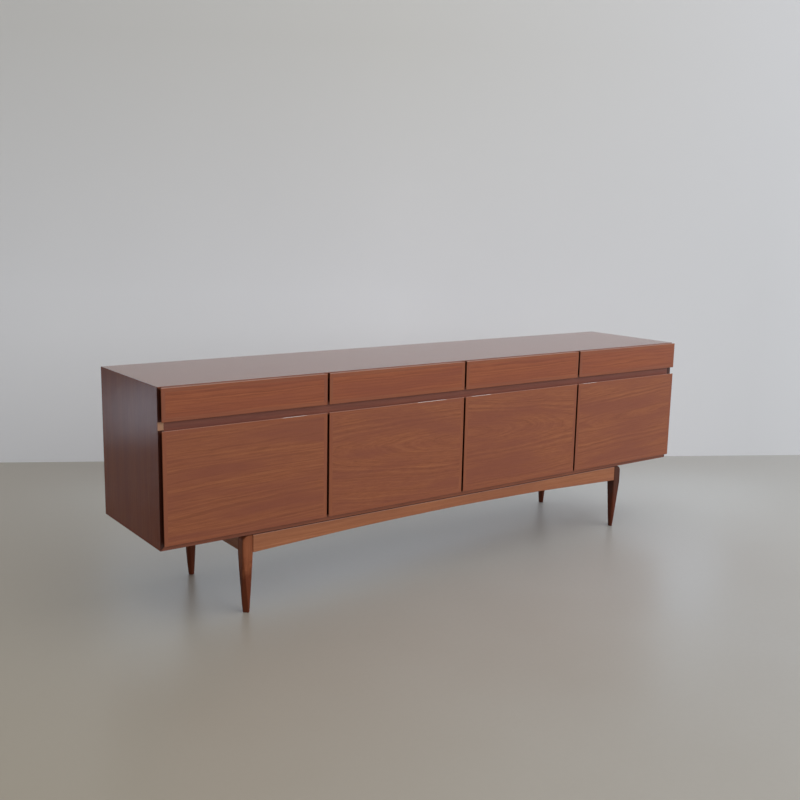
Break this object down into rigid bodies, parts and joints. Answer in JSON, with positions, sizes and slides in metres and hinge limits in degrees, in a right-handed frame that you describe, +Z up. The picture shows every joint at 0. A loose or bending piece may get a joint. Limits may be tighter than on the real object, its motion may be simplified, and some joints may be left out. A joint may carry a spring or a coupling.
{
  "type": "sideboard",
  "caption": "Long low teak sideboard on a tapered-leg frame, with a row of drawers over a row of hinged doors and a finger channel between them.",
  "frame": {"origin": "on the floor, under the middle of the bounding box", "axes": "+X along the length to the viewer's right, -Y out of the front, +Z up"},
  "size_m": [2.4, 0.5, 0.795],
  "materials": {
    "case_teak": "satin oiled teak veneer",
    "front_teak": "satin oiled teak veneer with solid lippings",
    "solid_teak": "satin oiled solid teak",
    "inner_teak": "matte oiled veneer",
    "drawer_wood": "matte lacquered beech",
    "brass": "satin, slightly aged",
    "catch_plastic": "brown moulded housing"
  },
  "bodies": {
    "cabinet": {"case_top": "case_teak", "case_bottom": "case_teak", "case_left_end": "case_teak", "case_right_end": "case_teak", "case_back_panel": "inner_teak", "drawer_deck": "inner_teak", "channel_rail": "front_teak", "case_divider_1": "inner_teak", "case_divider_2": "inner_teak", "case_divider_3": "inner_teak", "shelf_1": "inner_teak", "door_1_top_hinge": "brass", "door_1_bottom_hinge": "brass", "door_1_catch": "catch_plastic", "shelf_2": "inner_teak", "door_2_top_hinge": "brass", "door_2_bottom_hinge": "brass", "door_2_catch": "catch_plastic", "shelf_3": "inner_teak", "door_3_top_hinge": "brass", "door_3_bottom_hinge": "brass", "door_3_catch": "catch_plastic", "shelf_4": "inner_teak", "door_4_top_hinge": "brass", "door_4_bottom_hinge": "brass", "door_4_catch": "catch_plastic", "leg_front_left": "solid_teak", "leg_front_right": "solid_teak", "leg_back_left": "solid_teak", "leg_back_right": "solid_teak", "base_front_stretcher": "solid_teak", "base_back_stretcher": "solid_teak", "base_left_rail": "solid_teak", "base_right_rail": "solid_teak"},
    "drawer_1": {"drawer_1_front": "front_teak", "drawer_1_left_side": "drawer_wood", "drawer_1_right_side": "drawer_wood", "drawer_1_bottom": "drawer_wood", "drawer_1_back": "drawer_wood"},
    "door_1": {"door_1_panel": "front_teak"},
    "drawer_2": {"drawer_2_front": "front_teak", "drawer_2_left_side": "drawer_wood", "drawer_2_right_side": "drawer_wood", "drawer_2_bottom": "drawer_wood", "drawer_2_back": "drawer_wood"},
    "door_2": {"door_2_panel": "front_teak"},
    "drawer_3": {"drawer_3_front": "front_teak", "drawer_3_left_side": "drawer_wood", "drawer_3_right_side": "drawer_wood", "drawer_3_bottom": "drawer_wood", "drawer_3_back": "drawer_wood"},
    "door_3": {"door_3_panel": "front_teak"},
    "drawer_4": {"drawer_4_front": "front_teak", "drawer_4_left_side": "drawer_wood", "drawer_4_right_side": "drawer_wood", "drawer_4_bottom": "drawer_wood", "drawer_4_back": "drawer_wood"},
    "door_4": {"door_4_panel": "front_teak"}
  },
  "joints": [
    {"name": "drawer_1_slide", "type": "slide", "parent": "cabinet", "child": "drawer_1", "axis": [0, -1, 0], "range_m": [0, 0.33]},
    {"name": "drawer_2_slide", "type": "slide", "parent": "cabinet", "child": "drawer_2", "axis": [0, -1, 0], "range_m": [0, 0.33]},
    {"name": "drawer_3_slide", "type": "slide", "parent": "cabinet", "child": "drawer_3", "axis": [0, -1, 0], "range_m": [0, 0.33]},
    {"name": "drawer_4_slide", "type": "slide", "parent": "cabinet", "child": "drawer_4", "axis": [0, -1, 0], "range_m": [0, 0.33]},
    {"name": "door_1_hinge", "type": "hinge", "parent": "cabinet", "child": "door_1", "pos_m": [-1.184, -0.2425, 0.47675], "axis": [0, 0, -1], "range_deg": [0, 95]},
    {"name": "door_2_hinge", "type": "hinge", "parent": "cabinet", "child": "door_2", "pos_m": [-0.5845, -0.2425, 0.47675], "axis": [0, 0, -1], "range_deg": [0, 95]},
    {"name": "door_3_hinge", "type": "hinge", "parent": "cabinet", "child": "door_3", "pos_m": [0.5845, -0.2425, 0.47675], "axis": [0, 0, 1], "range_deg": [0, 95]},
    {"name": "door_4_hinge", "type": "hinge", "parent": "cabinet", "child": "door_4", "pos_m": [1.184, -0.2425, 0.47675], "axis": [0, 0, 1], "range_deg": [0, 95]}
  ]
}
